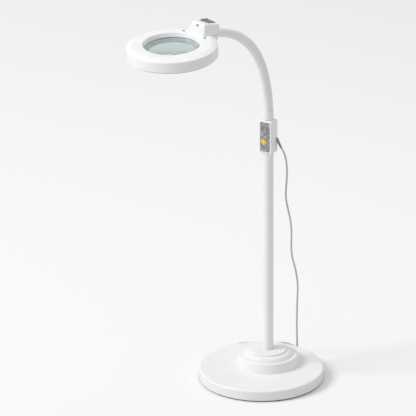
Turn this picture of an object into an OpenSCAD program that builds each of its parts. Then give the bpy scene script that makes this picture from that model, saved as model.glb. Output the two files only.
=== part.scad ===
// Floor-standing magnifying lamp: round weighted base, pole with a dimmer box,
// gooseneck, and a ring-shaped lamp head around a large biconvex lens.
// Millimetres. +Z is up, the origin is on the floor under the centre of the base,
// and the dimmer box faces -Y.

/* [Base] */
// Diameter of the round base
base_d = 300; // [260:5:360]
// Height of the rubber feet under the base
foot_h = 3.5; // [2:0.5:5]
// Height of the base disc without its feet
base_h = 24.5; // [22:0.5:30]
// Radius of the rounded rim around the top of the base
rim_r = 4; // [2:0.5:6]
// Number of rubber feet on the outer ring
foot_count = 6; // [4:1:8]
// Diameter of one rubber foot
foot_d = 18; // [12:1:24]

/* [Hub and pole] */
// Distance from the centre of the base back to the pole
pole_back = 31.5; // [20:0.5:40]
// Outer diameter of the pole
pole_d = 25.4; // [22:0.1:30]
// Wall thickness of the pole
pole_wall = 1.6; // [1:0.1:3]
// Diameter of the hub where it meets the base
hub_d = 154; // [130:1:170]
// Diameter of the hub at its shelf
hub_shelf_d = 142; // [120:1:150]
// Height of the hub's shelf above the base
hub_shelf_h = 23; // [18:1:28]
// Diameter of the raised cap on top of the hub
cap_d = 88; // [70:1:96]
// Thickness of the cap
cap_h = 4; // [3:0.5:6]

/* [Dimmer box] */
// Height of the bottom of the dimmer box above the floor
box_z = 573; // [540:1:620]
// Width of the dimmer box
box_w = 36; // [36:1:44]
// Depth of the dimmer box, front to back
box_t = 30; // [30:1:40]
// Height of the dimmer box
box_h = 83; // [76:1:96]
// Wall thickness of the box's two shells
box_wall = 2.5; // [2:0.5:3]
// Height of the knob above the bottom of the box
knob_h = 30.5; // [28:0.5:40]
// Length of the dimmer knob over its two points
knob_len = 16.5; // [15:0.5:21]
// Width of the dimmer knob across its two points
knob_w = 13; // [12:0.5:16]

/* [Gooseneck] */
// Swing of the neck to the side, away from the box's front
neck_turn = 14; // [0:1:90]
// Height of the ferrule at the foot of the neck
ferrule_h = 23; // [22:1:30]
// Diameter of the ferrule
ferrule_d = 26; // [25:0.5:30]
// Diameter of the gooseneck's links
link_d = 22.8; // [20:0.1:23]
// Distance between two neighbouring pivots of the neck
link_len = 38; // [36:0.5:42]
// Half of the gap that lets two links bend
link_gap = 3; // [2.8:0.1:4]

/* [Lamp head] */
// Outer diameter of the lamp head
head_d = 214; // [208:1:220]
// Height of the lamp head
head_h = 34; // [34:1:38]
// Diameter of the opening over the lens
opening_d = 137; // [136:0.5:140]
// Diameter of the clear part of the lens
lens_d = 127; // [126:1:128]
// Bulge of each side of the lens
lens_bulge = 5; // [3:0.5:5]
// Distance from the pole to the centre of the head
head_reach = 316; // [314:1:318]
// Height of the head's top face above the floor
head_z = 931; // [929:1:933]
// Forward droop of the head, in degrees
head_droop = 2.5; // [0:0.5:4]
// Number of light-emitting chips
led_count = 48; // [24:6:60]

/* [Cord] */
// Diameter of the mains cord
cord_d = 4.5; // [4:0.5:5]

/* [Hidden] */

$fn = 96;
slip = 0.05;                           // radial clearance of a running fit
gap = 0.3;                             // clearance between faces that pass each other

base_top = foot_h + base_h;
cover_wall = 3;
plate_top = foot_h + 2;
weight_z0 = plate_top + 2;
weight_z1 = base_top - cover_wall;
foot_ring_r = base_d / 2 - 12;
screw_ring_r = base_d / 2 - 34;

hub_wall = 2.5;
shelf_z = base_top + hub_shelf_h;
step_r = 60;                           // radius of the low step inside the shelf
step_z = shelf_z + 3;
dome_w = 13;                           // width of the dome between the step and the cap
cap_z = shelf_z + 9;
hub_top = cap_z + cap_h;
socket_z = base_top + 5;
pole_top = box_z + 12;

box_top = box_z + box_h;
box_front_y = pole_back - box_t / 2;
plate_t = 0.5;                         // thickness of the faceplate
face_w = box_w - 10;
face_h = box_h - 8;
face_depth = 1.5;                      // how far the faceplate lies inside the box's face
knob_z = box_z + knob_h;
knob_depth = 0.4;                      // how far the knob's back lies inside the box's face

neck_z = box_top + ferrule_h;
rest_bends = [8, 5, 7, 9, 12, 11, 12, 9, 5];   // bend at each pivot of the neck at rest
ball_r = 7.5;
tip_len = link_len / 2 + 12;            // how far the last piece reaches past its pivot

head_r = head_d / 2;
bevel_r = 13;                          // width of the sloping shoulder around the head's top
bevel_z = -4;                          // height of the shoulder's outer edge
skin = 2.5;                            // wall of the head's mouldings
lens_z = -13;                          // middle plane of the lens below the head's top face
lens_rim = 4;                          // thickness of the lens at its edge

// The bracket's corners in the head's frame, each as [x, half width, z], front and rear
bracket_foot = [[-74, 31, 0], [-128, 34, -6]];
bracket_top = [[-88, 20, 26], [-132, 24, 16]];
bracket_seam = [[-98, 33, -6], [-128, 34, -6]];
bracket_low = [[-98, 24, -20], [-125, 21, -28]];
bracket_wall = 2.5;
ear_screw = [-73, 35];                 // place of the two screws beside the bracket's foot
top_slope = atan2(10, 44);             // slope of the bracket's top, falling to the rear
rocker_at = [-117, 0, 26 - 29 * 10 / 44];
frame_l = 24;                          // the rocker's frame, along the lamp and across it
frame_w = 29;
rocker_l = 20;
rocker_w = 24.2;
rocker_tilt = 7;                       // tilt of the rocker when it is switched on

// Cord: leaves the box's right side, hangs down behind the base and ends in a tied hank
cord_r = cord_d / 2;
gland_lean = 30;                       // lean of the gland away from straight down
gland_len = 28;
gland_at = [16, pole_back + 10, 610];
cord_route = [
    [30, 41.5, 585.75], [34, 44, 577], [37, 47, 566], [39, 51, 545], [38, 55, 521], [35.5, 58, 498],
    [32, 61, 475], [29.5, 64.5, 453], [29, 70, 432], [30, 77, 408], [30.5, 84, 384],
    [29.5, 90, 362], [26.5, 96, 336], [23, 101, 311], [21, 106, 291], [21, 112, 270],
    [22.5, 119, 249], [23, 125, 229], [22.5, 131, 208], [20.5, 136, 186], [16.5, 141, 156],
    [12, 147, 125], [8, 153, 95], [5, 158.5, 65], [2.5, 164, 38], [0, 169, 18], [-2.5, 174, 9.6],
    [-6, 180, 4.4], [-11, 186.5, 2.5], [-18, 192.5, 2.4], [-27, 196.5, 2.4], [-37, 196.5, 2.4],
    [-46.5, 194, 2.45]];
tail_route = [
    [-130.5, 141.5, 6.95], [-138.5, 135, 6.2], [-143.5, 126.5, 5.2], [-144.5, 116.5, 4.3],
    [-142, 106.5, 4.3], [-138.5, 95.5, 5.4], [-139.5, 84, 7]];
hank_at = [-81, 151];                  // middle of the hank, behind the base
hank_turn = 32;
hank_len = 131;
hank_w = 41;
hank_h = 9;
hank_lift = 0.2;                       // thickness of the tie under the hank
tie_t = 0.6;                           // thickness of the tie around the hank's sides and top
plug_at = [-147.5, 69, 7];
plug_turn = -118.5;

// ---- shared shapes ----

// Points along an arc, for profiles
function arc(cx, cy, r, a0, a1, n = 8) =
    [for (i = [0:n]) let (a = a0 + (a1 - a0) * i / n) [cx + r * cos(a), cy + r * sin(a)]];

function reversed(v) = [for (i = [len(v) - 1:-1:0]) v[i]];

// Rectangle with round corners, centred
module round_rect(w, h, r) {
    square([w - 2 * r, h], center = true);
    square([w, h - 2 * r], center = true);
    for (x = [-1, 1], y = [-1, 1]) translate([x * (w / 2 - r), y * (h / 2 - r)]) circle(r);
}

module ring(r_out, r_in, h) {
    difference() {
        cylinder(r = r_out, h = h);
        translate([0, 0, -1]) cylinder(r = r_in, h = h + 2);
    }
}

// Places its children around the Z axis
module around(count, r, first = 0) {
    for (i = [0:count - 1]) rotate(first + i * 360 / count) translate([r, 0, 0]) children();
}

// Block between a lower and an upper face. Each face has a front and a rear edge,
// given as [x, half width, z]. inset moves every corner inwards.
module wedge(low, high, inset = 0) {
    function corner(p, side, dx, dz) =
        [p[0] - dx * inset, side * (p[1] - inset), p[2] - dz * inset];
    points = [
        corner(low[0], -1, 1, -1), corner(low[0], 1, 1, -1),
        corner(low[1], 1, -1, -1), corner(low[1], -1, -1, -1),
        corner(high[0], -1, 1, 1), corner(high[0], 1, 1, 1),
        corner(high[1], 1, -1, 1), corner(high[1], -1, -1, 1)];
    polyhedron(points, [[0, 1, 2, 3], [7, 6, 5, 4], [0, 4, 5, 1], [1, 5, 6], [1, 6, 2],
        [2, 6, 7, 3], [3, 7, 4], [3, 4, 0]], convexity = 2);
}

module at_pole(z = 0) translate([0, pole_back, z]) children();

// The dimmer box's front: children lie in its face, x to the right, y up, z out of the front
module on_face(depth = 0, z = 0)
    translate([0, box_front_y + depth, z]) rotate([90, 0, 0]) children();

// ---- the neck's frame: x points forward from the pole, z is up ----

function lean(k) = k < 0 ? 0 : rest_bends[k] + lean(k - 1);
function pivot(k) = k == 0 ? [0, link_len / 2]
    : pivot(k - 1) + link_len * [sin(lean(k - 1)), cos(lean(k - 1))];

module in_neck() translate([0, pole_back, neck_z]) rotate(-90 - neck_turn) children();

// Origin at pivot k, z along the link that follows it
module at_pivot(k)
    in_neck() translate([pivot(k)[0], 0, pivot(k)[1]]) rotate([0, lean(k), 0]) children();

// The head's frame: origin in the middle of the head's top face, x forward
module in_head()
    in_neck() translate([head_reach, 0, head_z - neck_z]) rotate([0, head_droop, 0]) children();

// ---- base ----

module base_cover() color("white") difference() {
    base_shell();
    at_pole(base_top - cover_wall - 1) {
        cylinder(d = 10.5, h = cover_wall + 2, $fn = 32);
        around(4, 27, 45) cylinder(d = 6, h = cover_wall + 2, $fn = 32);
    }
}

module base_shell() rotate_extrude($fn = 180) {
    r = base_d / 2;
    outer = concat([[r, foot_h]], arc(r - rim_r, base_top - rim_r, rim_r, 0, 90, 6), [[0, base_top]]);
    inner = [[0, base_top - cover_wall], [r - rim_r - 1, base_top - cover_wall],
        [r - cover_wall, base_top - rim_r - 1], [r - cover_wall, foot_h]];
    polygon(concat(outer, inner));
}

module base_weight() color("dimgray") difference() {
    translate([0, 0, weight_z0]) cylinder(r = base_d / 2 - 9, h = weight_z1 - weight_z0);
    translate([0, 0, weight_z0 - 1]) around(4, screw_ring_r, 45) cylinder(d = 5, h = 13);
    at_pole(weight_z0 - 1) cylinder(d = 10.5, h = 40);
    at_pole(weight_z0 - 1) cylinder(d = 28, h = 9);
    at_pole(weight_z1 - 8) around(4, 27, 45) cylinder(d = 6, h = 20);
}

module base_plate() color("silver") difference() {
    translate([0, 0, foot_h]) cylinder(r = base_d / 2 - cover_wall - 0.5, h = plate_top - foot_h);
    translate([0, 0, foot_h - 1]) around(4, screw_ring_r, 45) cylinder(d = 5, h = 9);
}

module rubber_feet() color([0.15, 0.15, 0.15]) {
    cylinder(d = foot_d, h = foot_h, $fn = 48);
    around(foot_count, foot_ring_r, 18) cylinder(d = foot_d, h = foot_h, $fn = 48);
}

module base_screws() color("silver") around(4, screw_ring_r, 45) {
    translate([0, 0, 1.5]) cylinder(d = 9, h = foot_h - 1.5, $fn = 32);
    translate([0, 0, foot_h]) cylinder(d = 5, h = 14, $fn = 32);
}

// ---- hub and pole ----

// Outline of the hub, moved inwards by t
function hub_profile(t) = concat(
    [[hub_d / 2 - t, base_top], [hub_shelf_d / 2 - t, shelf_z - 2 - t],
        [hub_shelf_d / 2 - 0.7 - t, shelf_z - 0.6 - t], [hub_shelf_d / 2 - 2.2 - t, shelf_z - t],
        [step_r - t, shelf_z - t], [step_r - t, step_z - t]],
    [for (a = [0:15:90]) [cap_d / 2 + (dome_w - t) * cos(a), step_z - t + (cap_z - step_z) * sin(a)]]);

module hub_cover() color("white") at_pole() rotate_extrude($fn = 128) {
    opening_r = 18.5;
    polygon(concat(hub_profile(0), [[opening_r, cap_z], [opening_r, cap_z - hub_wall]],
        reversed(hub_profile(hub_wall))));
}

module hub_cap() color("white") at_pole(cap_z) rotate_extrude($fn = 128) {
    r = cap_d / 2;
    polygon(concat([[pole_d / 2 + slip, 0], [r, 0]], arc(r - 1.5, cap_h - 1.5, 1.5, 0, 90, 4),
        [[pole_d / 2 + slip, cap_h]]));
}

module pole_socket() color("silver") at_pole(base_top) difference() {
    union() {
        cylinder(d = 72, h = socket_z - base_top);
        cylinder(d = pole_d + 9, h = 30);
    }
    translate([0, 0, socket_z - base_top]) cylinder(r = pole_d / 2 + slip, h = 40);
    translate([0, 0, -1]) cylinder(d = 10.5, h = 20);
    translate([0, 0, -1]) around(4, 27, 45) cylinder(d = 6, h = 20);
}

module socket_screws() color("silver") at_pole() around(4, 27, 45) {
    translate([0, 0, weight_z1 - 8]) cylinder(d = 6, h = socket_z - weight_z1 + 8, $fn = 32);
    translate([0, 0, socket_z]) cylinder(d = 10, h = 4, $fn = 32);
}

module pole_plug() color("silver") at_pole(socket_z) difference() {
    cylinder(d = pole_d - 2 * pole_wall, h = 20);
    translate([0, 0, -1]) cylinder(d = 10, h = 17);
}

module pole_bolt() color("gray") at_pole() {
    translate([0, 0, weight_z0]) cylinder(d = 18, h = 6, $fn = 6);
    translate([0, 0, weight_z0 + 6]) cylinder(d = 24, h = 2, $fn = 48);
    translate([0, 0, weight_z0 + 8]) cylinder(d = 10, h = socket_z + 14 - weight_z0 - 8, $fn = 48);
}

module pole() color("white") at_pole(socket_z)
    ring(pole_d / 2, pole_d / 2 - pole_wall, pole_top - socket_z);

// ---- dimmer box ----

module box_shell(side) {
    inner_w = box_w - 2 * box_wall;
    inner_t = box_t - 2 * box_wall;
    intersection() {
        at_pole(box_z) difference() {
            linear_extrude(box_h) round_rect(box_w, box_t, 4);
            translate([0, 0, box_wall]) linear_extrude(box_h - 2 * box_wall)
                round_rect(inner_w, inner_t, 2);
            translate([0, 0, -1]) cylinder(r = pole_d / 2 + slip, h = pole_top - box_z + 1);
            translate([0, 0, box_h - box_wall - 1]) cylinder(d = 14, h = box_wall + 2);
        }
        translate([-box_w, pole_back - (side < 0 ? box_t : 0), box_z - 1])
            cube([2 * box_w, box_t, box_h + 2]);
    }
}

module box_front() color("white") difference() {
    box_shell(-1);
    on_face(box_wall + 1, box_z + box_h / 2) linear_extrude(box_wall + 2)
        round_rect(face_w, face_h, 3);
}

module box_rear() color("white") difference() {
    box_shell(1);
    for (z = [16, box_h - 9]) translate([0, pole_back + 1, box_z + z]) rotate([-90, 0, 0])
        cylinder(d = 3, h = box_t, $fn = 32);
}

module faceplate() color("darkgray") difference() {
    on_face(face_depth + plate_t, box_z + box_h / 2) linear_extrude(plate_t)
        round_rect(face_w, face_h, 3);
    on_face(box_wall + 1, knob_z) cylinder(d = 7, h = 4, $fn = 32);
}

module dial_ring() color("gainsboro") on_face(face_depth, knob_z) ring(11.5, 8.5, 0.8);

// Lemon-shaped knob: the overlap of two discs, bored for its shaft
module dimmer_knob() color("gold") on_face(knob_depth, knob_z) {
    disc_r = (knob_len * knob_len + knob_w * knob_w) / (4 * knob_w);
    difference() {
        linear_extrude(7.5) intersection_for(s = [-1, 1])
            translate([0, s * (disc_r - knob_w / 2)]) circle(disc_r);
        translate([0, 0, -1]) cylinder(d = 6, h = 6, $fn = 32);
    }
}

module dimmer_shaft() color("silver") on_face(box_wall + 5, knob_z)
    cylinder(d = 6, h = box_wall + 5 - knob_depth + 5, $fn = 32);

module dimmer_body() color("slategray") difference() {
    on_face(box_wall + 9, knob_z) cylinder(d = 16, h = 8, $fn = 48);
    on_face(box_wall + 5 + gap, knob_z) cylinder(d = 6 + 2 * slip, h = 8, $fn = 32);
}

module circuit_board() color("darkgreen") {
    translate([-12, box_front_y + box_wall + 9, box_z + 18]) cube([24, 1.6, 52]);
    for (p = [[-6, 56], [5, 52], [-4, 64]]) translate([p[0], box_front_y + box_wall + 3, box_z + p[1]])
        cube([6, 6, 6]);
}

module box_screws() color("silver") for (z = [16, box_h - 9])
    translate([0, pole_back, box_z + z]) rotate([-90, 0, 0]) {
        translate([0, 0, box_t / 2 - 9]) cylinder(d = 3, h = 9, $fn = 32);
        translate([0, 0, box_t / 2]) cylinder(d = 5.5, h = 1.5, $fn = 32);
    }

// ---- swivel and gooseneck ----

module swivel_bush() color("silver") at_pole() {
    translate([0, 0, box_top - box_wall - 3]) ring(10, 4, 3);
    translate([0, 0, box_top - box_wall]) ring(7, 4, 20);
}

module swivel_nut() color("gray") at_pole(box_top + 13) ring(9.5, 7, 4);

module neck_ferrule() color("white") at_pole(box_top + gap) difference() {
    cylinder(d = ferrule_d, h = ferrule_h - gap);
    translate([0, 0, -1]) cylinder(r = 7 + slip, h = ferrule_h);
    translate([0, 0, 12]) cylinder(r = 10, h = ferrule_h);
}

// Solid with a cup for the next link's ball, reaching from z0 to the gap before z1
module cupped(z0, z1) difference() {
    translate([0, 0, z0]) cylinder(d = link_d, h = z1 - link_gap - z0);
    translate([0, 0, z1]) sphere(ball_r + gap);
}

module ball_end() {
    sphere(ball_r);
    cylinder(r = 4.5, h = link_gap + 4);
}

module neck_stub() color("white") in_neck() {
    cupped(0, link_len / 2);
    translate([0, 0, -4]) cylinder(r = 10, h = 5);
}

module neck_link(k) color("white") at_pivot(k - 1) {
    ball_end();
    cupped(link_gap, link_len);
}

module neck_link_1() neck_link(1);
module neck_link_2() neck_link(2);
module neck_link_3() neck_link(3);
module neck_link_4() neck_link(4);
module neck_link_5() neck_link(5);
module neck_link_6() neck_link(6);
module neck_link_7() neck_link(7);
module neck_link_8() neck_link(8);

module neck_tip() color("white") at_pivot(8) {
    ball_end();
    translate([0, 0, link_gap]) cylinder(d = link_d, h = tip_len - link_gap);
}

module neck_clamp() color("silver") at_pivot(8)
    translate([0, 0, tip_len - 8]) ring(link_d / 2 + 1.6, link_d / 2, 7);

// ---- bracket between the neck and the head ----

// The head's outer shape, which the bracket sits on
module head_envelope() rotate_extrude($fn = 180)
    polygon([[0, -head_h - 9], [head_r, -head_h - 9], [head_r, bevel_z], [head_r - bevel_r, 0],
        [0, 0]]);

module neck_passage() at_pivot(8) cylinder(d = link_d + 0.6, h = tip_len + 1);

// Origin in the middle of the rocker, on the bracket's sloping top
module at_rocker() in_head() translate(rocker_at) rotate([0, -top_slope, 0]) children();

module bracket_cover() color("white") difference() {
    in_head() wedge(bracket_foot, bracket_top);
    in_head() wedge([[-74, 31, -6], [-128, 34, -12]], bracket_top, bracket_wall);
    in_head() head_envelope();
    at_rocker() translate([-frame_l / 2 + 1.5, -frame_w / 2 + 1.5, -8])
        cube([frame_l - 3, frame_w - 3, 20]);
    neck_passage();
    at_pivot(8) translate([0, 0, tip_len - 8]) cylinder(r = link_d / 2 + 1.6, h = 9);
    front_screw(0);
}

module bracket_base() color("white") difference() {
    in_head() wedge(bracket_low, bracket_seam);
    in_head() head_envelope();
    neck_passage();
    at_pivot(8) translate([0, 0, tip_len - 8]) cylinder(r = link_d / 2 + 1.6, h = 9);
}

// Screw in the bracket's sloping front; head > 0 draws its head too
module front_screw(head, head_clear = 0.1) in_head() translate([-84.8, 0, 20])
    rotate([0, 90 - atan2(14, 26), 0]) {
        translate([0, 0, -8]) cylinder(d = 3, h = 8 + head_clear, $fn = 32);
        if (head > 0) translate([0, 0, head_clear]) cylinder(d = 6, h = head, $fn = 32);
    }

module bracket_screws() color("dimgray") {
    front_screw(1);
    in_head() for (s = [-1, 1]) translate([ear_screw[0], s * ear_screw[1], 0]) {
        translate([0, 0, -8]) cylinder(d = 3, h = 8, $fn = 32);
        cylinder(d = 6, h = 1, $fn = 32);
    }
}

// Frame around the rocker, with the pin that the rocker tilts on
module rocker_frame() color([0.25, 0.25, 0.27]) at_rocker() {
    difference() {
        union() {
            translate([-frame_l / 2, -frame_w / 2, 0]) cube([frame_l, frame_w, 1.5]);
            translate([-frame_l / 2 + 1.5, -frame_w / 2 + 1.5, -6]) cube([frame_l - 3, frame_w - 3, 6]);
        }
        translate([-rocker_l / 2 - gap, -12.8, -7]) cube([rocker_l + 2 * gap, 25.6, 10]);
    }
    translate([-rocker_l / 2 - gap, 0, -1]) rotate([0, 90, 0])
        cylinder(r = 1, h = rocker_l + 2 * gap, $fn = 32);
}

module rocker_body() color([0.2, 0.2, 0.22]) at_rocker()
    translate([-frame_l / 2 + 1.5, -frame_w / 2 + 1.5, -11.5]) cube([frame_l - 3, frame_w - 3, 5.5]);

module rocker_switch() color([0.3, 0.3, 0.32])
    at_rocker() translate([0, 0, -1]) rotate([-rocker_tilt, 0, 0]) difference() {
        translate([-rocker_l / 2, 0, 0]) rotate([90, 0, 90]) linear_extrude(rocker_l)
            polygon([[-rocker_w / 2, 0], [0, -3.6], [rocker_w / 2, 0], [rocker_w / 2, 3.6], [0, 2.4],
                [-rocker_w / 2, 3.6]]);
        translate([-rocker_l, 0, 0]) rotate([0, 90, 0])
            cylinder(r = 1 + slip, h = 2 * rocker_l, $fn = 32);
    }

// ---- lamp head ----

module head_cover() color("white") in_head() difference() {
    union() {
        head_shell();
        around(4, 88, 45) translate([0, 0, -20.5]) cylinder(r = 4.5, h = 19, $fn = 32);
    }
    for (s = [-1, 1]) translate([ear_screw[0], s * ear_screw[1], -9])
        cylinder(d = 3, h = 12, $fn = 32);
    around(4, 88, 45) translate([0, 0, -21]) cylinder(d = 3, h = 16, $fn = 32);
}

module head_shell() rotate_extrude($fn = 180) {
    hole = opening_d / 2;
    seat = lens_d / 2;
    polygon([[head_r, 4 - head_h], [head_r, bevel_z - 1], [head_r - 1, bevel_z],
        [head_r - bevel_r, 0], [hole + 1, 0], [hole, -1], [seat, lens_z + 4], [seat, lens_z + 3],
        [seat + 6, lens_z + 3], [hole + 3.5, -skin], [head_r - bevel_r - 1, -skin],
        [head_r - skin, bevel_z - 2], [head_r - skin, 4 - head_h]]);
}

// Tray that closes the head from below and carries the light ring
module head_tray() color("white") in_head() difference() {
    rotate_extrude($fn = 180) {
        inner = lens_d / 2 + 2.5;
        polygon([[inner, lens_z - 2], [inner, 1 - head_h], [inner + 1, -head_h], [inner + 4, -head_h],
            [inner + 5, 1 - head_h], [inner + 5, -23], [head_r - 8, -23], [head_r - 8, 1 - head_h],
            [head_r - 7, -head_h], [head_r - 4, -head_h], [head_r, 4 - head_h],
            [head_r - skin, 4 - head_h], [head_r - skin, 7 - head_h], [head_r - 5, 7 - head_h],
            [head_r - 5, -20.5], [inner + 3, -20.5], [inner + 3, lens_z - 2]]);
    }
    around(4, 88, 45) translate([0, 0, -30]) cylinder(d = 3, h = 20, $fn = 32);
}

module lens() color([0.75, 0.9, 0.85, 0.6]) in_head() intersection() {
    edge_r = lens_d / 2 + 1.5;
    sphere_r = (edge_r * edge_r + lens_bulge * lens_bulge) / (2 * lens_bulge);
    middle = sphere_r - lens_bulge - lens_rim / 2;
    translate([0, 0, lens_z - lens_rim]) cylinder(r = edge_r, h = 2 * lens_rim + 2 * lens_bulge);
    translate([0, 0, lens_z - middle]) sphere(sphere_r, $fn = 180);
    translate([0, 0, lens_z + middle]) sphere(sphere_r, $fn = 180);
}

module lens_gasket() color([0.2, 0.2, 0.2]) in_head()
    translate([0, 0, lens_z + lens_rim / 2 + 0.15]) ring(lens_d / 2 + 2.5, lens_d / 2 + 0.8, 0.85);

module lens_ring() color("gainsboro") in_head()
    translate([0, 0, lens_z - lens_rim / 2 - 3.15]) ring(lens_d / 2 + 2.5, lens_d / 2 + 0.8, 3);

module led_board() color("white") in_head() difference() {
    translate([0, 0, -24.6]) ring(head_r - 10, lens_d / 2 + 9.5, 1.6);
    around(4, 88, 45) translate([0, 0, -26]) cylinder(d = 7, h = 4, $fn = 32);
}

module led_chips() color("lightyellow") in_head()
    around(led_count, head_r - 22, 180 / led_count) translate([-1.75, -1.4, -25.5]) cube([3.5, 2.8, 0.9]);

module light_diffuser() color([0.95, 0.95, 0.95, 0.8]) in_head()
    translate([0, 0, 1 - head_h]) ring(head_r - 8, lens_d / 2 + 7.5, 2);

module head_screws() color("silver") in_head() around(4, 88, 45) {
    translate([0, 0, -23]) cylinder(d = 3, h = 17, $fn = 32);
    translate([0, 0, -24.6]) cylinder(d = 6, h = 1.6, $fn = 32);
}

// ---- cord ----

module cord_gland() color("gainsboro") difference() {
    translate(gland_at) rotate([0, 180 - gland_lean, 0])
        cylinder(r1 = 5, r2 = cord_r + 0.4, h = gland_len, $fn = 48);
    translate([-box_w / 2, 0, box_z]) cube([box_w, 100, 100]);
}

function unit(v) = v / norm(v);
function along(p, i) = unit(p[min(i + 1, len(p) - 1)] - p[max(i - 1, 0)]);

// Smooth curve through the points, steps times as many
function smooth(p, steps) = [
    for (i = [0:len(p) - 2], s = [0:steps - 1]) let (
        t = s / steps, a = p[max(i - 1, 0)], b = p[i], c = p[i + 1], d = p[min(i + 2, len(p) - 1)])
        0.5 * (2 * b + t * (c - a) + t * t * (2 * a - 5 * b + 4 * c - d)
            + t * t * t * (3 * b - a - 3 * c + d)),
    p[len(p) - 1]];

// Directions square to the path that turn with it
function carried(p, first) = [
    for (i = 0, u = unit(first - (first * along(p, 0)) * along(p, 0)); i < len(p);
        i = i + 1, u = i < len(p) ? unit(u - (u * along(p, i)) * along(p, i)) : u) u];

module tube(p, r, sides = 8) {
    u = carried(p, [0, 1, 0.3]);
    points = [for (i = [0:len(p) - 1], k = [0:sides - 1])
        let (v = cross(along(p, i), u[i]), a = k * 360 / sides) p[i] + r * (cos(a) * u[i] + sin(a) * v)];
    last = (len(p) - 1) * sides;
    polyhedron(points, concat(
        [[for (k = [0:sides - 1]) k]],
        [for (i = [0:len(p) - 2], k = [0:sides - 1]) let (n = (k + 1) % sides)
            [i * sides + k, (i + 1) * sides + k, (i + 1) * sides + n, i * sides + n]],
        [[for (k = [sides - 1:-1:0]) last + k]]), convexity = 6);
}

module power_cord() color("gainsboro") tube(smooth(cord_route, 2), cord_r);

module cord_tail() color("gainsboro") tube(smooth(tail_route, 2), cord_r);

module at_hank(z) translate([hank_at[0], hank_at[1], z]) rotate(hank_turn) children();

module cord_hank() color("gainsboro") at_hank(hank_lift) linear_extrude(hank_h)
    round_rect(hank_len, hank_w, hank_w / 2 - 0.01);

module cord_tie() color("dimgray") at_hank(0) difference() {
    translate([-5, -hank_w / 2 - tie_t, 0])
        cube([10, hank_w + 2 * tie_t, hank_lift + hank_h + tie_t]);
    translate([-6, -hank_w / 2, hank_lift]) cube([12, hank_w, hank_h]);
}

module at_plug() translate(plug_at) rotate(plug_turn) children();

module plug_body() color("gainsboro") at_plug() translate([0, 0, -6.5]) linear_extrude(13)
    polygon([[-17, -4], [-6, -10], [-2, -11], [13, -11], [13, 11], [-2, 11], [-6, 10], [-17, 4]]);

module plug_pins() color("silver") at_plug() for (s = [-1, 1])
    translate([13, s * 6.35 - 0.75, -3.2]) cube([16, 1.5, 6.4]);

base_cover();
base_weight();
base_plate();
rubber_feet();
base_screws();
hub_cover();
hub_cap();
pole_socket();
socket_screws();
pole_plug();
pole_bolt();
pole();
box_front();
box_rear();
faceplate();
dial_ring();
dimmer_knob();
dimmer_shaft();
dimmer_body();
circuit_board();
box_screws();
swivel_bush();
swivel_nut();
neck_ferrule();
neck_stub();
neck_link_1();
neck_link_2();
neck_link_3();
neck_link_4();
neck_link_5();
neck_link_6();
neck_link_7();
neck_link_8();
neck_tip();
neck_clamp();
bracket_cover();
bracket_base();
bracket_screws();
rocker_frame();
rocker_body();
rocker_switch();
head_cover();
head_tray();
lens();
lens_gasket();
lens_ring();
led_board();
led_chips();
light_diffuser();
head_screws();
cord_gland();
power_cord();
cord_tail();
cord_hank();
cord_tie();
plug_body();
plug_pins();
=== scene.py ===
"""A floor-standing magnifying lamp: looks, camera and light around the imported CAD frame."""
import math

import bmesh
import bpy
from mathutils import Matrix, Vector


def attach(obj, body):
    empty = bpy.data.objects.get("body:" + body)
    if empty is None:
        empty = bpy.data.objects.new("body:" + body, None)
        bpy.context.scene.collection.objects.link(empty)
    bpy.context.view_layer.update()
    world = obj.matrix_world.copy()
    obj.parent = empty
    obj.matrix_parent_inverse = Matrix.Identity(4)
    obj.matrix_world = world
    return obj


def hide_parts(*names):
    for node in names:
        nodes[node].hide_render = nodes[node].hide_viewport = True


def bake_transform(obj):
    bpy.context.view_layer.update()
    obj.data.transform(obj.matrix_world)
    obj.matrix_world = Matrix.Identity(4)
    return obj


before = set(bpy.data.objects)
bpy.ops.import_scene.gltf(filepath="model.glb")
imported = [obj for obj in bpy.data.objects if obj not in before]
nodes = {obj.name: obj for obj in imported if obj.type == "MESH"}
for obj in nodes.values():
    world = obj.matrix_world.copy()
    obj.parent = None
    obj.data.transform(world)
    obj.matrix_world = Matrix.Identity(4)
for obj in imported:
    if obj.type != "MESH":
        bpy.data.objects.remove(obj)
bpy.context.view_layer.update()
scene = bpy.context.scene
MM = 0.001

# ---- dimensions that the CAD model sets, in millimetres ----

POLE_BACK = 31.5
BOX_BOTTOM, BOX_W, BOX_T, BOX_H = 573.0, 36.0, 30.0, 83.0
BOX_FRONT = POLE_BACK - BOX_T / 2
FACE_W, FACE_H = 26.0, 75.0
KNOB_Z = BOX_BOTTOM + 30.5
FERRULE_R, NECK_Z = 13.0, 679.0
NECK_TURN = 14.0
BENDS = [8, 5, 7, 9, 12, 11, 12, 9, 5]
LINK = 38.0
HEAD_R, HEAD_H, HEAD_REACH, HEAD_Z, DROOP = 107.0, 34.0, 316.0, 931.0, 2.5
LENS_R, LENS_Z, LENS_BULGE, LENS_RIM = 63.5, -13.0, 5.0, 4.0
BASE_TOP = 28.0


def mm(*point):
    return Vector(point) * MM


NECK = Matrix.Translation(mm(0, POLE_BACK, NECK_Z)) @ Matrix.Rotation(
    math.radians(-90 - NECK_TURN), 4, "Z")
HEAD = NECK @ Matrix.Translation(mm(HEAD_REACH, 0, HEAD_Z - NECK_Z)) @ Matrix.Rotation(
    math.radians(DROOP), 4, "Y")
POLE = Matrix.Translation(mm(0, POLE_BACK, 0))

# ---- camera ----

AZIMUTH, ELEVATION, ROLL = math.radians(31.6), math.radians(22.21), math.radians(-0.25)
DISTANCE = 13.2346
AIM_LEFT, AIM_HEIGHT = 0.1436, 0.4292      # where the camera aims, left of the pole and up
FOCAL_LENGTH, SENSOR_WIDTH = 480, 36
FAR_CLIP = 200


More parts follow.
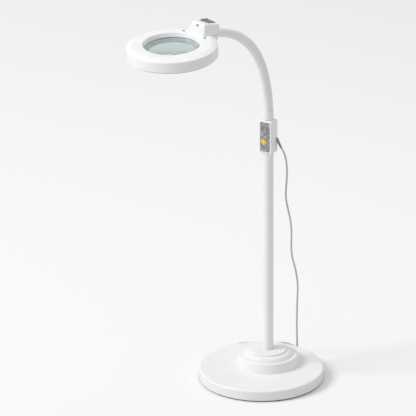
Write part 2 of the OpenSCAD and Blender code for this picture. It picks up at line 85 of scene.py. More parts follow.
def add_camera():
    right = Vector((math.cos(AZIMUTH), math.sin(AZIMUTH), 0))
    back = Vector((math.sin(AZIMUTH) * math.cos(ELEVATION),
                   -math.cos(AZIMUTH) * math.cos(ELEVATION), math.sin(ELEVATION)))
    up = back.cross(right)
    aim = mm(0, POLE_BACK, 0) - AIM_LEFT * right + Vector((0, 0, AIM_HEIGHT))
    rolled_right = math.cos(ROLL) * right + math.sin(ROLL) * up
    rolled_up = math.cos(ROLL) * up - math.sin(ROLL) * right
    data = bpy.data.cameras.new("camera")
    data.lens = FOCAL_LENGTH
    data.sensor_width = SENSOR_WIDTH
    data.clip_end = FAR_CLIP
    camera = bpy.data.objects.new("camera", data)
    scene.collection.objects.link(camera)
    camera.matrix_world = Matrix.Translation(aim + DISTANCE * back) @ Matrix(
        (rolled_right, rolled_up, back)).transposed().to_4x4()
    scene.camera = camera


add_camera()

# ---- mesh helpers; outlines are in millimetres ----


def add_piece(name, points, faces, place=Matrix(), sharp=40):
    """A smooth-shaded mesh object from points in millimetres, moved to its place."""
    mesh = bpy.data.meshes.new(name)
    mesh.from_pydata([place @ (Vector(p) * MM) for p in points], [], faces)
    mesh.validate()
    mesh.shade_smooth()
    mesh.set_sharp_from_angle(angle=math.radians(sharp))
    piece = bpy.data.objects.new(name, mesh)
    scene.collection.objects.link(piece)
    return piece


def rounded(corners, radius, steps=5, closed=False):
    """The outline with its corners rounded; a corner may give its own radius as a third number."""
    count = len(corners)
    points = []
    for i, corner in enumerate(corners):
        here = Vector(corner[:2])
        reach = corner[2] if len(corner) > 2 else radius
        if reach == 0 or (not closed and i in (0, count - 1)):
            points.append(tuple(here))
            continue
        before = Vector(corners[i - 1][:2]) - here
        after = Vector(corners[(i + 1) % count][:2]) - here
        first = here + before.normalized() * min(reach, 0.49 * before.length)
        last = here + after.normalized() * min(reach, 0.49 * after.length)
        for k in range(steps + 1):
            t = k / steps
            points.append(tuple((1 - t) ** 2 * first + 2 * t * (1 - t) * here + t * t * last))
    return points


def loft(name, rings, place=Matrix(), caps=True, joined=False, sharp=40):
    """Skins rings that have the same number of points. joined closes the last ring to the first."""
    size = len(rings[0])
    points = [p for ring in rings for p in ring]
    faces = []
    pairs = len(rings) if joined else len(rings) - 1
    for i in range(pairs):
        a, b = i * size, (i + 1) % len(rings) * size
        for k in range(size):
            n = (k + 1) % size
            faces.append((a + k, a + n, b + n, b + k))
    if caps and not joined:
        faces.append(tuple(range(size - 1, -1, -1)))
        faces.append(tuple(range(len(points) - size, len(points))))
    return add_piece(name, points, faces, place, sharp)


def lathe(name, outline, place=Matrix(), sides=160, closed=False, sharp=40):
    """Turns an outline of (radius, height) about the Z axis of its place."""
    rings = []
    for radius, height in outline:
        rings.append([(max(radius, 0.001) * math.cos(math.tau * k / sides),
                       max(radius, 0.001) * math.sin(math.tau * k / sides), height)
                      for k in range(sides)])
    return loft(name, rings, place, joined=closed, sharp=sharp)


def soft_rect(width, height, radius, steps=6):
    """Points of a rectangle with round corners, centred, anticlockwise."""
    points = []
    for turn, (sx, sy) in enumerate([(1, 1), (-1, 1), (-1, -1), (1, -1)]):
        for k in range(steps + 1):
            a = math.radians(90 * turn + 90 * k / steps)
            points.append((sx * (width / 2 - radius) + radius * math.cos(a),
                           sy * (height / 2 - radius) + radius * math.sin(a)))
    return points


def bevelled(name, points, faces, width, place=Matrix(), segments=4):
    """A solid with flat faces and all its edges rounded."""
    mesh = bmesh.new()
    corners = [mesh.verts.new(Vector(p)) for p in points]
    for face in faces:
        mesh.faces.new([corners[i] for i in face])
    bmesh.ops.recalc_face_normals(mesh, faces=mesh.faces)
    bmesh.ops.bevel(mesh, geom=mesh.edges[:], offset=width, segments=segments, profile=0.5,
                    affect="EDGES", clamp_overlap=True)
    mesh.verts.index_update()
    made = add_piece(name, [tuple(v.co) for v in mesh.verts],
                     [tuple(v.index for v in f.verts) for f in mesh.faces], place, 60)
    mesh.free()
    keep_flats(made)
    return made


def keep_flats(piece):
    """Keeps large flat faces flat under smooth shading."""
    modifier = piece.modifiers.new("flats", "WEIGHTED_NORMAL")
    modifier.keep_sharp = True
    modifier.weight = 80


# ---- the cord ----

CORD_D = 4.5
CORD_ROUTE = [
    (30, 41.5, 585.75), (34, 44, 577), (37, 47, 566), (39, 51, 545), (38, 55, 521), (35.5, 58, 498),
    (32, 61, 475), (29.5, 64.5, 453), (29, 70, 432), (30, 77, 408), (30.5, 84, 384),
    (29.5, 90, 362), (26.5, 96, 336), (23, 101, 311), (21, 106, 291), (21, 112, 270),
    (22.5, 119, 249), (23, 125, 229), (22.5, 131, 208), (20.5, 136, 186), (16.5, 141, 156),
    (12, 147, 125), (8, 153, 95), (5, 158.5, 65), (2.5, 164, 38), (0, 169, 18), (-2.5, 174, 9.6),
    (-6, 180, 4.4), (-11, 186.5, 2.5), (-18, 192.5, 2.4), (-27, 196.5, 2.4), (-37, 196.5, 2.4),
    (-46.5, 194, 2.45)]
TAIL_ROUTE = [
    (-130.5, 141.5, 6.95), (-138.5, 135, 6.2), (-143.5, 126.5, 5.2), (-144.5, 116.5, 4.3),
    (-142, 106.5, 4.3), (-138.5, 95.5, 5.4), (-139.5, 84, 7)]
HANK_AT, HANK_TURN, HANK_RUN = (-81, 151), math.radians(32), 90.0
HANK_W, HANK_H, HANK_LIFT = 41.0, 9.0, 0.2
PLUG_AT, PLUG_TURN = (-147.5, 69, 7), math.radians(-118.5)
OUTER, INNER = 18.0, 13.5                  # distance of the hank's runs from its middle line
LOWER = HANK_LIFT + CORD_D / 2
UPPER = LOWER + CORD_D


def smooth_route(points, steps):
    """A smooth curve through the points."""
    p = [Vector(q) for q in points]
    line = []
    for i in range(len(p) - 1):
        a, b, c, d = p[max(i - 1, 0)], p[i], p[i + 1], p[min(i + 2, len(p) - 1)]
        for s in range(steps):
            t = s / steps
            line.append(0.5 * (2 * b + t * (c - a) + t ** 2 * (2 * a - 5 * b + 4 * c - d)
                               + t ** 3 * (3 * b - a - 3 * c + d)))
    return line + [p[-1]]


def fold(end, y0, y1, z0, z1, bulge, steps=14):
    """Half turn at one end of the hank, from (y0, z0) to (y1, z1)."""
    middle, radius = (y0 + y1) / 2, (y1 - y0) / 2
    return [(end * (HANK_RUN / 2 + bulge * math.sin(math.pi * k / steps)),
             middle - radius * math.cos(math.pi * k / steps),
             z0 + (z1 - z0) * k / steps) for k in range(steps + 1)]


def hank_line():
    """Middle line of the hank: three turns in two layers, then a last run on top."""
    path = []
    path += fold(-1, OUTER, -OUTER, LOWER, LOWER, OUTER)
    path += fold(1, -OUTER, INNER, LOWER, LOWER, OUTER)
    path += fold(-1, INNER, -INNER, LOWER, LOWER, INNER)
    path += fold(1, -INNER, INNER, LOWER, UPPER, INNER)
    path += fold(-1, INNER, -INNER, UPPER, UPPER, INNER)
    path += fold(1, -INNER, OUTER, UPPER, UPPER, OUTER)
    place = (Matrix.Translation((HANK_AT[0], HANK_AT[1], 0)) @ Matrix.Rotation(HANK_TURN, 4, "Z"))
    return [place @ Vector(p) for p in path]


def evenly(points, step):
    """Extra points along the straight stretches."""
    line = [points[0]]
    for a, b in zip(points, points[1:]):
        count = max(1, round((b - a).length / step))
        line += [a.lerp(b, k / count) for k in range(1, count + 1)]
    return line


def tube(name, line, radius, sides=12):
    """A round tube along a line, and its rings' centres in metres."""
    tangents = [(line[min(i + 1, len(line) - 1)] - line[max(i - 1, 0)]).normalized()
                for i in range(len(line))]
    side = Vector((0, 1, 0.3))
    rings = []
    for centre, along in zip(line, tangents):
        side = (side - side.dot(along) * along).normalized()
        other = along.cross(side)
        rings.append([tuple(centre + radius * (math.cos(math.tau * k / sides) * side
                                               + math.sin(math.tau * k / sides) * other))
                      for k in range(sides)])
    return loft(name, rings), [tuple(p * MM) for p in line]


def cord_line():
    route = smooth_route(CORD_ROUTE, 5)
    tail = smooth_route(TAIL_ROUTE, 5)
    return evenly(route + hank_line() + tail, 5)


cord, cord_path = tube("mains_cord", cord_line(), CORD_D / 2)


def rings_along_x(sections):
    """Rings for loft(); each section is (x, width, height, corner radius)."""
    return [[(x, a, b) for a, b in soft_rect(w, h, r)] for x, w, h, r in sections]


def add_plug():
    """Flat moulded plug with a ribbed grip and a tapered cord guard."""
    place = Matrix.Translation(mm(*PLUG_AT)) @ Matrix.Rotation(PLUG_TURN, 4, "Z")
    sections = [(-17, 5, 5, 2.4), (-16.4, 6, 6, 2.9)]
    for k in range(3):
        x = -15 + k * 3
        wide = 7.2 + 2.2 * k
        tall = 6.6 + 1.1 * k
        sections += [(x, wide, tall, 3), (x + 1.5, wide + 0.8, tall + 0.4, 3),
                     (x + 1.9, wide - 0.4, tall - 0.4, 3), (x + 2.6, wide - 0.4, tall - 0.4, 3)]
    sections += [(-5.5, 17, 11, 4), (-3.5, 20.4, 12.6, 4), (-1.5, 21.8, 12.9, 4)]
    for k in range(4):
        x = 0.2 + 2 * k
        sections += [(x, 21.9, 12.9, 4), (x + 0.5, 21.0, 12.2, 4), (x + 1, 21.0, 12.2, 4),
                     (x + 1.5, 21.9, 12.9, 4)]
    sections += [(11.6, 21.9, 12.9, 3), (12.6, 21.2, 12.2, 3), (13, 20, 11, 3)]
    plug = loft("plug_moulding", rings_along_x(sections), place, sharp=50)
    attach(plug, "stand")
    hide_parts("plug_body")
    return plug


def add_tie():
    """Strap of hook-and-loop tape round the hank."""
    place = (Matrix.Translation(mm(HANK_AT[0], HANK_AT[1], HANK_LIFT + HANK_H / 2))
             @ Matrix.Rotation(HANK_TURN, 4, "Z"))
    w, h = HANK_W, HANK_H
    sections = [(-5, w, h, 3), (-5, w + 0.9, h + 0.9, 3.4), (5, w + 0.9, h + 0.9, 3.4), (5, w, h, 3)]
    tie = loft("hank_strap", rings_along_x(sections), place, joined=True)
    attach(tie, "stand")
    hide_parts("cord_tie")
    return tie


def add_strain_relief():
    """Tapered, slotted guard where the cord leaves the box."""
    start = Vector((16, POLE_BACK + 10, 610))
    place = Matrix.Translation(start * MM) @ Matrix.Rotation(math.radians(150), 4, "Y")
    outline = [(3.7, 3), (3.7, 6.5), (3.5, 7)]
    for k in range(7):
        z = 7.6 + 2.7 * k
        r = 3.45 - 0.12 * k
        outline += [(r, z), (r - 0.05, z + 1.5), (r - 0.35, z + 1.7), (r - 0.4, z + 2.4)]
    outline += [(2.6, 26.6), (2.5, 27.6), (2.3, 28)]
    relief = lathe("strain_relief", outline, place, 32)
    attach(relief, "stand")
    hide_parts("cord_gland")
    return relief


plug = add_plug()
tie = add_tie()
relief = add_strain_relief()
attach(cord, "stand")
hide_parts("power_cord", "cord_tail", "cord_hank")

# ---- materials ----


class Shader:
    """A node-based material under construction."""

    def __init__(self, name):
        self.material = bpy.data.materials.new(name)
        self.material.use_nodes = True
        self.tree = self.material.node_tree
        self.main = self.tree.nodes["Principled BSDF"]
        self.place = self.tree.nodes.new("ShaderNodeTexCoord").outputs["Object"]

    def link(self, a, b):
        self.tree.links.new(a, b)

    def noise(self, scale, detail=3.0, rough=0.5, stretch=None):
        """Noise of a given number of cells per metre, from 0 to 1."""
        node = self.tree.nodes.new("ShaderNodeTexNoise")
        node.inputs["Scale"].default_value = scale
        node.inputs["Detail"].default_value = detail
        node.inputs["Roughness"].default_value = rough
        source = self.place
        if stretch:
            mapping = self.tree.nodes.new("ShaderNodeMapping")
            mapping.inputs["Scale"].default_value = stretch
            self.link(self.place, mapping.inputs["Vector"])
            source = mapping.outputs["Vector"]
        self.link(source, node.inputs["Vector"])
        return node.outputs["Fac"]

    def ramp(self, source, *stops):
        node = self.tree.nodes.new("ShaderNodeValToRGB")
        elements = node.color_ramp.elements
        while len(elements) < len(stops):
            elements.new(0.5)
        for element, (at, colour) in zip(elements, stops):
            element.position = at
            element.color = (*colour, 1)
        self.link(source, node.inputs["Fac"])
        return node.outputs["Color"]

    def spread(self, source, low, high):
        node = self.tree.nodes.new("ShaderNodeMapRange")
        node.inputs["From Min"].default_value = 0.25
        node.inputs["From Max"].default_value = 0.75
        node.inputs["To Min"].default_value = low
        node.inputs["To Max"].default_value = high
        self.link(source, node.inputs["Value"])
        return node.outputs["Result"]

    def bump(self, source, depth_mm, strength=1.0):
        node = self.tree.nodes.new("ShaderNodeBump")
        node.inputs["Strength"].default_value = strength
        node.inputs["Distance"].default_value = depth_mm * MM
        self.link(source, node.inputs["Height"])
        previous = self.main.inputs["Normal"].links
        if previous:
            self.link(previous[0].from_socket, node.inputs["Normal"])
        self.link(node.outputs["Normal"], self.main.inputs["Normal"])

    def set(self, **values):
        for name, value in values.items():
            self.main.inputs[name.replace("_", " ")].default_value = value


def varied(name, dark, light, rough, cells=25, grain=900, depth=0.05, **values):
    """Colour that drifts between two shades, with fine surface grain."""
    s = Shader(name)
    drift = s.noise(cells, 4)
    s.link(s.ramp(drift, (0.3, dark), (0.7, light)), s.main.inputs["Base Color"])
    s.link(s.spread(s.noise(cells * 6, 5), rough[0], rough[1]), s.main.inputs["Roughness"])
    s.bump(s.noise(grain, 2), depth)
    s.set(**values)
    return s.material


def brushed(name, dark, light, rough, stretch, **values):
    """Metal with fine lines along one direction."""
    s = Shader(name)
    lines = s.noise(220, 4, 0.6, stretch)
    s.link(s.ramp(lines, (0.3, dark), (0.7, light)), s.main.inputs["Base Color"])
    s.link(s.spread(lines, rough[0], rough[1]), s.main.inputs["Roughness"])
    s.bump(lines, 0.02)
    s.set(Metallic=1.0, **values)
    return s.material


powder = varied("white_powder_coat", (0.81, 0.81, 0.825), (0.85, 0.85, 0.865), (0.34, 0.42),
                grain=1100, depth=0.035, Coat_Weight=0.15, Coat_Roughness=0.25)
plastic = varied("white_moulded_plastic", (0.82, 0.82, 0.83), (0.86, 0.86, 0.87), (0.30, 0.40),
                 grain=2200, depth=0.02, Coat_Weight=0.1, Coat_Roughness=0.2)
# Painted shade: the tray is white plastic like the cover. Its colour is greyed to stand in for the
# shade on its under-bevel and inside it.
tray_plastic_greyed_for_shade = varied("white_tray_plastic_painted_shade", (0.56, 0.56, 0.57), (0.62, 0.62, 0.63), (0.35, 0.45),
                      grain=2200, depth=0.02)
neck_vinyl = varied("white_neck_sleeve", (0.79, 0.79, 0.80), (0.83, 0.83, 0.84), (0.38, 0.48),
                    grain=1600, depth=0.03)
cord_vinyl = varied("grey_cord_sheath", (0.49, 0.49, 0.495), (0.55, 0.55, 0.555), (0.40, 0.52),
                    grain=2500, depth=0.02)
# Painted shade: the cord guard is a pale boot. This dark grey stands in for the shade on it.
cord_guard_painted_shade_grey = varied("cord_guard_grey_painted_shade", (0.22, 0.22, 0.225), (0.28, 0.28, 0.285), (0.42, 0.55),
                     grain=2500, depth=0.02)
rubber = varied("black_rubber", (0.018, 0.018, 0.019), (0.035, 0.035, 0.036), (0.6, 0.8),
                grain=1500, depth=0.06)
dark_plastic = varied("dark_switch_plastic", (0.12, 0.122, 0.126), (0.165, 0.167, 0.172),
                      (0.30, 0.42), cells=60, grain=3000, depth=0.02, Coat_Weight=0.2)
pale_rubber = varied("pale_gasket_rubber", (0.52, 0.55, 0.55), (0.62, 0.65, 0.65), (0.5, 0.7),
                     grain=2000, depth=0.03)
board_green = varied("green_circuit_board", (0.01, 0.10, 0.04), (0.02, 0.16, 0.06), (0.3, 0.45),
                     cells=150, grain=1800, depth=0.04)
chip_yellow = varied("light_chip_phosphor", (0.85, 0.75, 0.30), (0.95, 0.85, 0.40), (0.3, 0.5),
                     cells=900, grain=3000, depth=0.03)
frosted = varied("frosted_diffuser", (0.84, 0.86, 0.86), (0.90, 0.91, 0.91), (0.5, 0.65),
                 grain=2600, depth=0.04, Transmission_Weight=0.25, IOR=1.49)
knob_yellow = varied("yellow_knob_plastic", (0.74, 0.44, 0.03), (0.90, 0.60, 0.07), (0.22, 0.32),
                     cells=120, grain=2600, depth=0.03, Coat_Weight=0.8, Coat_Roughness=0.12)
pale_ring = varied("pale_dial_print", (0.30, 0.31, 0.31), (0.72, 0.72, 0.70), (0.3, 0.45),
                   cells=160, grain=3000, depth=0.02)
cast_iron = varied("cast_weight", (0.05, 0.05, 0.052), (0.11, 0.11, 0.112), (0.6, 0.8),
                   cells=80, grain=500, depth=0.3)
steel = brushed("brushed_steel", (0.42, 0.42, 0.43), (0.60, 0.60, 0.61), (0.25, 0.42), (1, 1, 0.08))
zinc = brushed("zinc_plating", (0.50, 0.50, 0.48), (0.66, 0.66, 0.63), (0.3, 0.45), (1, 1, 1))
# Painted shade: the base plate is coloured black so that the gap under the base reads as a deep shade
# band.
black_under_base_painted_shade = varied("black_enamel_painted_shade", (0.012, 0.012, 0.013), (0.022, 0.022, 0.023), (0.5, 0.65),
                     grain=1200, depth=0.04)
dark_screws = varied("blackened_screws", (0.20, 0.20, 0.21), (0.30, 0.30, 0.31), (0.35, 0.5),
                     cells=300, grain=2500, depth=0.03, Metallic=0.3)
strap_cloth = varied("strap_webbing", (0.03, 0.03, 0.032), (0.06, 0.06, 0.062), (0.8, 0.95),
                     cells=700, grain=1700, depth=0.2, Sheen_Weight=0.4)


def mottled_faceplate():
    """Aged metallic plate: grey with pale blotches and fine speckle."""
    s = Shader("mottled_metal_face")
    blotches = s.noise(130, 6, 0.7)
    colour = s.ramp(blotches, (0.34, (0.16, 0.165, 0.17)), (0.46, (0.30, 0.305, 0.305)),
                    (0.56, (0.42, 0.42, 0.41)), (0.66, (0.74, 0.73, 0.69)))
    s.link(colour, s.main.inputs["Base Color"])
    s.link(s.spread(s.noise(500, 4), 0.28, 0.55), s.main.inputs["Roughness"])
    s.bump(blotches, 0.08)
    s.set(Metallic=0.55)
    return s.material


def lens_glass():
    """Pale green clear material that bends light less than glass, with a glassy coat."""
    s = Shader("green_lens_glass")
    drift = s.noise(12, 2)
    s.link(s.ramp(drift, (0.3, (0.72, 0.88, 0.85)), (0.7, (0.77, 0.91, 0.88))),
           s.main.inputs["Base Color"])
    s.link(s.spread(s.noise(60, 2), 0.005, 0.02), s.main.inputs["Roughness"])
    s.set(Transmission_Weight=1.0, IOR=1.18, Coat_Weight=0.9, Coat_IOR=1.5, Coat_Roughness=0.01)
    return s.material


face_metal = mottled_faceplate()
glass = lens_glass()

# ---- pieces that replace plain CAD solids ----


def keep(piece, body, replaced, material):
    """The piece rides on its body, stands for its CAD nodes and has its material."""
    piece.data.materials.clear()
    piece.data.materials.append(material)
    if body:
        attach(piece, body)
    for name in replaced:
        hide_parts(name)
    return piece


def lean(k):
    return sum(BENDS[:k + 1]) if k >= 0 else 0


def step_along(point, degrees, distance):
    a = math.radians(degrees)
    return point + distance * Vector((math.sin(a), 0, math.cos(a)))


def neck_pivots():
    pivots = [Vector((0, 0, LINK / 2))]
    for k in range(1, len(BENDS)):
        pivots.append(step_along(pivots[-1], lean(k - 1), LINK))
    return pivots


RIBS = 7                                   # ribs on one stretch of the sleeve
RINGS_PER_RIB = 8
RIB_DEPTH = 0.9
NECK_R_LOW, NECK_R_HIGH = 12.0, 11.0       # the sleeve's radius at its foot and at the head
NECK_SIDES = 48
TIP_RINGS = 12                             # further rings that carry the last stretch into the bracket


def add_sleeve():
    """Ribbed sleeve of the gooseneck, in stretches that each bend at one pivot."""
    pivots = neck_pivots()
    count = len(pivots)
    for k, pivot in enumerate(pivots):
        bend = math.radians(BENDS[k])
        start = step_along(pivot, lean(k - 1), -LINK / 2)
        radius = LINK / 2 / math.tan(bend / 2)
        a0 = math.radians(lean(k - 1))
        centre = start + radius * Vector((math.cos(a0), 0, -math.sin(a0)))
        steps = RIBS * RINGS_PER_RIB
        rings = []
        extra = TIP_RINGS if k == count - 1 else 0
        for i in range(steps + 1 + extra):
            t = i / steps
            a = a0 + bend * min(t, 1)
            middle = centre - radius * Vector((math.cos(a), 0, -math.sin(a)))
            forward = Vector((math.sin(a), 0, math.cos(a)))
            if t > 1:
                middle += forward * (t - 1) * LINK
            out = Vector((math.cos(a), 0, -math.sin(a)))
            whole = (k + t) / count
            valley = (0.5 + 0.5 * math.cos(math.tau * t * RIBS)) ** 4
            r = NECK_R_LOW + (NECK_R_HIGH - NECK_R_LOW) * whole - RIB_DEPTH * valley
            rings.append([tuple(middle + r * (math.cos(math.tau * j / NECK_SIDES) * out
                                              + math.sin(math.tau * j / NECK_SIDES)
                                              * Vector((0, 1, 0)))) for j in range(NECK_SIDES)])
        sleeve = loft(f"neck_sleeve_{k + 1}", rings, NECK, caps=False, sharp=80)
        replaced = ["neck_stub"] if k == 0 else [f"neck_link_{k}"]
        if k == count - 1:
            replaced.append("neck_tip")
        keep(sleeve, None, replaced, neck_vinyl)
        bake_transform(sleeve)


def add_ferrule():
    """Collar at the foot of the neck, with a groove near its top."""
    z0, z1 = BOX_BOTTOM + BOX_H + 0.3, NECK_Z
    outline = rounded([(7.2, z0), (FERRULE_R - 0.4, z0), (FERRULE_R, z0 + 1.5), (FERRULE_R, z1 - 6),
                       (FERRULE_R - 0.5, z1 - 5.5), (FERRULE_R - 0.5, z1 - 4.5),
                       (FERRULE_R, z1 - 4), (FERRULE_R, z1), (NECK_R_LOW - 1.5, z1)], 0.8)
    keep(lathe("ferrule_shell", outline, POLE, 96), "swivel", ["neck_ferrule"], powder)


def face_rings(sections):
    """Upright rings of the dimmer box; a section is (depth behind its front, width, height, radius)."""
    middle = BOX_BOTTOM + BOX_H / 2
    return [[(x, BOX_FRONT + depth, middle + z) for x, z in soft_rect(w, h, r)]
            for depth, w, h, r in sections]


EDGE_ROUND, BOX_CORNER = 3.0, 4            # radii of the box's outer edges and upright corners


def box_edge_sections():
    """The box's round outer edge: (distance from its face, width, height, radius)."""
    rows = []
    for k in range(7):
        a = math.radians(90 * k / 6)
        inset = EDGE_ROUND * (1 - math.cos(a))
        rows.append((EDGE_ROUND * (1 - math.sin(a)), BOX_W - 2 * inset, BOX_H - 2 * inset,
                     BOX_CORNER))
    return rows


def box_front_sections():
    """From the seam round the front edge, then into the window and back inside the shell."""
    half = BOX_T / 2
    rows = [(half - 0.05, BOX_W - 1.2, BOX_H - 1.2, 3.4), (half - 0.3, BOX_W, BOX_H, BOX_CORNER)]
    rows += box_edge_sections()
    rows += [(0, FACE_W + 1.2, FACE_H + 1.2, 3.4), (0.15, FACE_W + 0.5, FACE_H + 0.5, 3.2),
             (0.5, FACE_W, FACE_H, 3), (2.5, FACE_W, FACE_H, 3), (2.5, BOX_W - 5, BOX_H - 5, 2),
             (half - 0.05, BOX_W - 5, BOX_H - 5, 2)]
    return rows


def box_rear_sections():
    """From inside the shell over the seam and round the rear edge."""
    half = BOX_T / 2
    rows = [(half + 0.05, BOX_W - 5, BOX_H - 5, 2), (half + 0.05, BOX_W - 1.2, BOX_H - 1.2, 3.4),
            (half + 0.3, BOX_W, BOX_H, BOX_CORNER)]
    return rows + [(BOX_T - depth, *size) for depth, *size in box_edge_sections()]


def add_box():
    """Front and rear shells of the dimmer box."""
    front = loft("dimmer_box_front", face_rings(box_front_sections()), joined=True)
    keep_flats(front)
    keep(front, "stand", ["box_front"], plastic)
    rear = loft("dimmer_box_rear", face_rings(box_rear_sections()))
    keep_flats(rear)
    keep(rear, "stand", ["box_rear"], plastic)


def lemon(length, width, points=40):
    """Outline of the overlap of two discs."""
    r = (length ** 2 + width ** 2) / (4 * width)
    half = math.asin(length / 2 / r)
    outline = []
    for side in (1, -1):
        for k in range(points // 2):
            a = half - 2 * half * k / (points // 2)
            outline.append((side * r * math.sin(a), side * (r * math.cos(a) - r + width / 2)))
    return outline


def add_knob():
    """Pointed knob with a domed top, turning about the dimmer's shaft."""
    place = (Matrix.Translation(mm(0, BOX_FRONT + 0.4, KNOB_Z))
             @ Matrix.Rotation(math.pi / 2, 4, "X"))
    length, width, height = 16.5, 13.0, 7.5
    rows = [(0.3, 0), (0, 0.4), (0.1, 2.4)]
    for k in range(9):
        a = math.radians(90 * k / 8)
        rows.append((0.2 + 4.4 * (1 - math.cos(a)), height - 4.6 + 4.6 * math.sin(a)))
    rows.append((5.4, height))
    rings = [[(x, y, z) for x, y in lemon(length - 2 * t, width - 2 * t)] for t, z in rows]
    knob = loft("dimmer_knob_cap", rings, place, sharp=50)
    keep(knob, "knob", ["dimmer_knob"], knob_yellow)


BLOCK_FACES = [(0, 3, 2, 1), (4, 5, 6, 7), (0, 1, 5, 4), (1, 2, 6, 5), (2, 3, 7, 6), (3, 0, 4, 7)]


def wedge_points(low, high):
    """Corners of a block between a lower and an upper face, each with a front and a rear edge."""
    points = []
    for front, rear in (low, high):
        points += [(front[0], -front[1], front[2]), (front[0], front[1], front[2]),
                   (rear[0], rear[1], rear[2]), (rear[0], -rear[1], rear[2])]
    return points


def add_bracket():
    """Two blocks between the neck and the head, one above and one below the joint line."""
    cover = bevelled("bracket_top_cover",
                     wedge_points([(-73, 31, -4), (-128, 34, -6)], [(-88, 20, 26), (-132, 24, 16)]),
                     BLOCK_FACES, 4.0, HEAD, 5)
    keep(cover, "head", ["bracket_cover"], plastic)
    base = bevelled("bracket_under_cover",
                    wedge_points([(-98, 24, -20), (-125, 21, -28)],
                                 [(-98, 33, -5.6), (-128, 34, -5.6)]),
                    BLOCK_FACES, 2.5, HEAD, 4)
    keep(base, "head", ["bracket_base"], plastic)


TOP_RISE, TOP_RUN = 10, 44                 # slope of the bracket's top, down towards the neck
ROCKER = HEAD @ Matrix.Translation(mm(-117, 0, 26 - 29 * TOP_RISE / TOP_RUN)) @ Matrix.Rotation(
    -math.atan2(TOP_RISE, TOP_RUN), 4, "Y")
ROCKER_TILT = math.radians(-7)


def add_rocker():
    """Bezel and two-sided paddle of the power switch."""
    outer = soft_rect(24, 29, 1.5)
    inner = soft_rect(20.6, 25.6, 0.8)
    rows = [(outer, 1, 1, -1), (outer, 1, 1, 1.0), (outer, 0.975, 0.98, 1.5),
            (inner, 1.02, 1.015, 1.5), (inner, 1, 1, 1.2), (inner, 1, 1, -5), (inner, 1.08, 1.07, -5)]
    rings = [[(x * wide, y * deep, z) for x, y in outline] for outline, wide, deep, z in rows]
    bezel = loft("rocker_bezel", rings, ROCKER, joined=True)
    keep(bezel, "head", ["rocker_frame"], dark_plastic)
    tilt = ROCKER @ Matrix.Translation(mm(0, 0, -1)) @ Matrix.Rotation(ROCKER_TILT, 4, "X")
    profile = rounded([(-12.1, 0), (0, -3.6), (12.1, 0), (12.1, 3.6), (0, 2.4, 5), (-12.1, 3.6)], 0.6,
                      closed=True)
    ends = [(-10, 0.4), (-9.6, 0), (9.6, 0), (10, 0.4)]
    rings = []
    for x, t in ends:
        rings.append([(x, y * (1 - t / 12), 0.7 + (z - 0.7) * (1 - t / 3)) for y, z in profile])
    paddle = loft("rocker_paddle", rings, tilt, sharp=50)
    keep(paddle, "rocker", ["rocker_switch"], dark_plastic)


def add_head():
    """Ring-shaped cover and tray, both turned about the head's axis."""
    hole, seat = 68.5, LENS_R
    cover = rounded([
        (HEAD_R, 4 - HEAD_H, 0), (HEAD_R, -5, 2.5), (HEAD_R - 13, 0, 3), (hole, 0, 1.2),
        (seat + 0.4, LENS_Z + 4, 0.6), (seat + 0.4, LENS_Z + 3, 0.3), (seat + 6, LENS_Z + 3, 0.3),
        (hole + 3.5, -2.5, 1), (HEAD_R - 14, -2.5, 1), (HEAD_R - 2.5, -6, 1),
        (HEAD_R - 2.5, 4 - HEAD_H, 0)], 1, 6, closed=True)
    keep(lathe("head_top_cover", cover, HEAD, 220, closed=True, sharp=60), "head",
         ["head_cover"], plastic)
    inner = LENS_R + 2.5
    tray = rounded([
        (inner, LENS_Z - 2), (inner, 1 - HEAD_H), (inner + 1, -HEAD_H), (inner + 4, -HEAD_H),
        (inner + 5, 1 - HEAD_H), (inner + 5, -23), (HEAD_R - 8, -23), (HEAD_R - 8, 1 - HEAD_H),
        (HEAD_R - 7, -HEAD_H), (HEAD_R - 5, -HEAD_H, 1), (HEAD_R - 1.2, 4 - HEAD_H, 0.3),
        (HEAD_R - 2.5, 4 - HEAD_H), (HEAD_R - 2.5, 7 - HEAD_H), (HEAD_R - 5, 7 - HEAD_H),
        (HEAD_R - 5, -20.5), (inner + 3, -20.5), (inner + 3, LENS_Z - 2)], 0.5, 4, closed=True)
    # The tray's greyed colour is painted shade.
    keep(lathe("head_under_tray", tray, HEAD, 220, closed=True, sharp=60), "head",
         ["head_tray"], tray_plastic_greyed_for_shade)


def add_lens():
    """Biconvex lens with an upright edge band."""
    edge = LENS_R + 1.5
    r = (edge ** 2 + LENS_BULGE ** 2) / (2 * LENS_BULGE)
    half = math.asin(edge / r)
    rise = r - LENS_BULGE - LENS_RIM / 2
    arc = [(r * math.sin(half * k / 60), r * math.cos(half * k / 60) - rise) for k in range(61)]
    outline = [(x, LENS_Z - z) for x, z in arc] + [(x, LENS_Z + z) for x, z in reversed(arc)]
    keep(lathe("magnifier_lens", outline, HEAD, 256, sharp=50), "head", ["lens"], glass)


def add_hub():
    """Stepped hub: sloping skirt, shelf, low step and dome, up to the pole."""
    top = BASE_TOP
    dome = [(44 + 13 * math.cos(math.radians(a)), top + 26 + 6 * math.sin(math.radians(a)))
            for a in range(0, 91, 10)]
    outline = rounded([(77, top, 0), (76.6, top + 1.5, 1), (71, top + 21.5, 1.5), (69.2, top + 23, 1.5),
                       (60.2, top + 23, 0.8), (60, top + 25.6, 0.8), (59, top + 26, 0.6),
                       (57.2, top + 26, 0.3)], 0.5, 6) + dome[1:] + [(13.5, top + 32)]
    keep(lathe("hub_shell", outline, POLE, 200, sharp=50), "stand", ["hub_cover"], powder)


add_sleeve()
add_ferrule()
add_box()
add_knob()
add_bracket()
add_rocker()
add_head()
add_lens()
add_hub()

for piece, material in [(cord, cord_vinyl), (plug, cord_vinyl), (relief, cord_guard_painted_shade_grey),
                        (tie, strap_cloth)]:
    piece.data.materials.append(material)

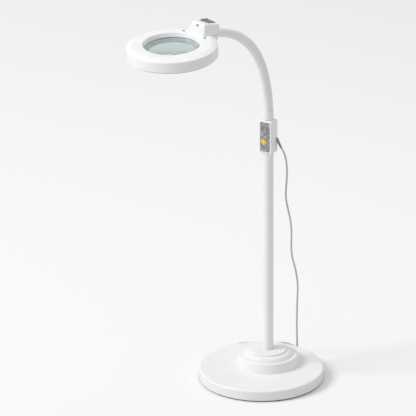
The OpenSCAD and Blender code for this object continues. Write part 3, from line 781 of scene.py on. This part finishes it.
NODE_LOOKS = [
    (powder, ["base_cover", "hub_cover", "hub_cap", "pole", "neck_ferrule"]),
    (cast_iron, ["base_weight"]),
    (black_under_base_painted_shade, ["base_plate"]),
    (zinc, ["pole_socket", "base_screws", "socket_screws", "pole_bolt", "head_screws",
            "box_screws"]),
    (dark_screws, ["bracket_screws"]),
    (steel, ["pole_plug", "dimmer_shaft", "swivel_bush", "swivel_nut", "neck_clamp", "plug_pins"]),
    (rubber, ["rubber_feet"]),
    (pale_rubber, ["lens_gasket"]),
    (plastic, ["box_front", "box_rear", "head_cover", "bracket_cover", "bracket_base", "lens_ring",
               "led_board"]),
    (tray_plastic_greyed_for_shade, ["head_tray"]),
    (face_metal, ["faceplate"]),
    (pale_ring, ["dial_ring"]),
    (knob_yellow, ["dimmer_knob"]),
    (dark_plastic, ["dimmer_body", "rocker_frame", "rocker_body", "rocker_switch"]),
    (board_green, ["circuit_board"]),
    (chip_yellow, ["led_chips"]),
    (frosted, ["light_diffuser"]),
    (glass, ["lens"]),
    (neck_vinyl, ["neck_stub", "neck_tip"] + [f"neck_link_{k}" for k in range(1, 9)]),
    (cord_vinyl, ["power_cord", "cord_tail", "cord_hank", "plug_body"]),
    (cord_guard_painted_shade_grey, ["cord_gland"]),
    (strap_cloth, ["cord_tie"]),
]
for material, names in NODE_LOOKS:
    for name in names:
        nodes[name].data.materials.clear()
        nodes[name].data.materials.append(material)

# ---- floor and light ----


FLOOR_SEEN = (0.87, 0.87, 0.88, 1)         # the floor's colour in the picture
FLOOR_BOUNCE = (0.72, 0.72, 0.735, 1)      # its colour for the light that it sends back


def floor_paint():
    """Pale matt floor that sends back a little less light than its colour in the picture says."""
    s = Shader("pale_floor")
    seen = s.tree.nodes.new("ShaderNodeLightPath").outputs["Is Camera Ray"]
    mix = s.tree.nodes.new("ShaderNodeMix")
    mix.data_type = "RGBA"
    s.link(seen, mix.inputs["Factor"])
    mix.inputs["A"].default_value = FLOOR_BOUNCE
    mix.inputs["B"].default_value = FLOOR_SEEN
    s.link(mix.outputs["Result"], s.main.inputs["Base Color"])
    s.set(Roughness=0.9, Specular_IOR_Level=0.1)
    return s.material


FLOOR_HALF = 40                            # metres


def add_floor():
    mesh = bpy.data.meshes.new("floor")
    corners = [(x * FLOOR_HALF, y * FLOOR_HALF, 0) for x, y in ((-1, -1), (1, -1), (1, 1), (-1, 1))]
    mesh.from_pydata(corners, [], [(0, 1, 2, 3)])
    floor = bpy.data.objects.new("floor", mesh)
    scene.collection.objects.link(floor)
    floor.data.materials.append(floor_paint())


def add_light(name, at, aim, size, watts):
    """Square area light; places and size in metres."""
    data = bpy.data.lights.new(name, "AREA")
    data.size = size
    data.energy = watts
    light = bpy.data.objects.new(name, data)
    scene.collection.objects.link(light)
    light.location = at
    light.rotation_euler = (Vector(aim) - Vector(at)).to_track_quat("-Z", "Y").to_euler()


SKY_STRENGTH = 0.62


def add_world():
    world = bpy.data.worlds.new("studio")
    scene.world = world
    world.use_nodes = True
    background = world.node_tree.nodes["Background"]
    background.inputs["Color"].default_value = (1, 1, 1, 1)
    background.inputs["Strength"].default_value = SKY_STRENGTH


add_floor()
add_light("key", (-6.1, -5.8, 8.0), (0, 0, 0.4), 4.6, 760)
add_light("top", (0.3, 1.0, 2.8), (0.3, 1.0, 0), 1.6, 9)
add_world()
scene.view_settings.view_transform = "Standard"
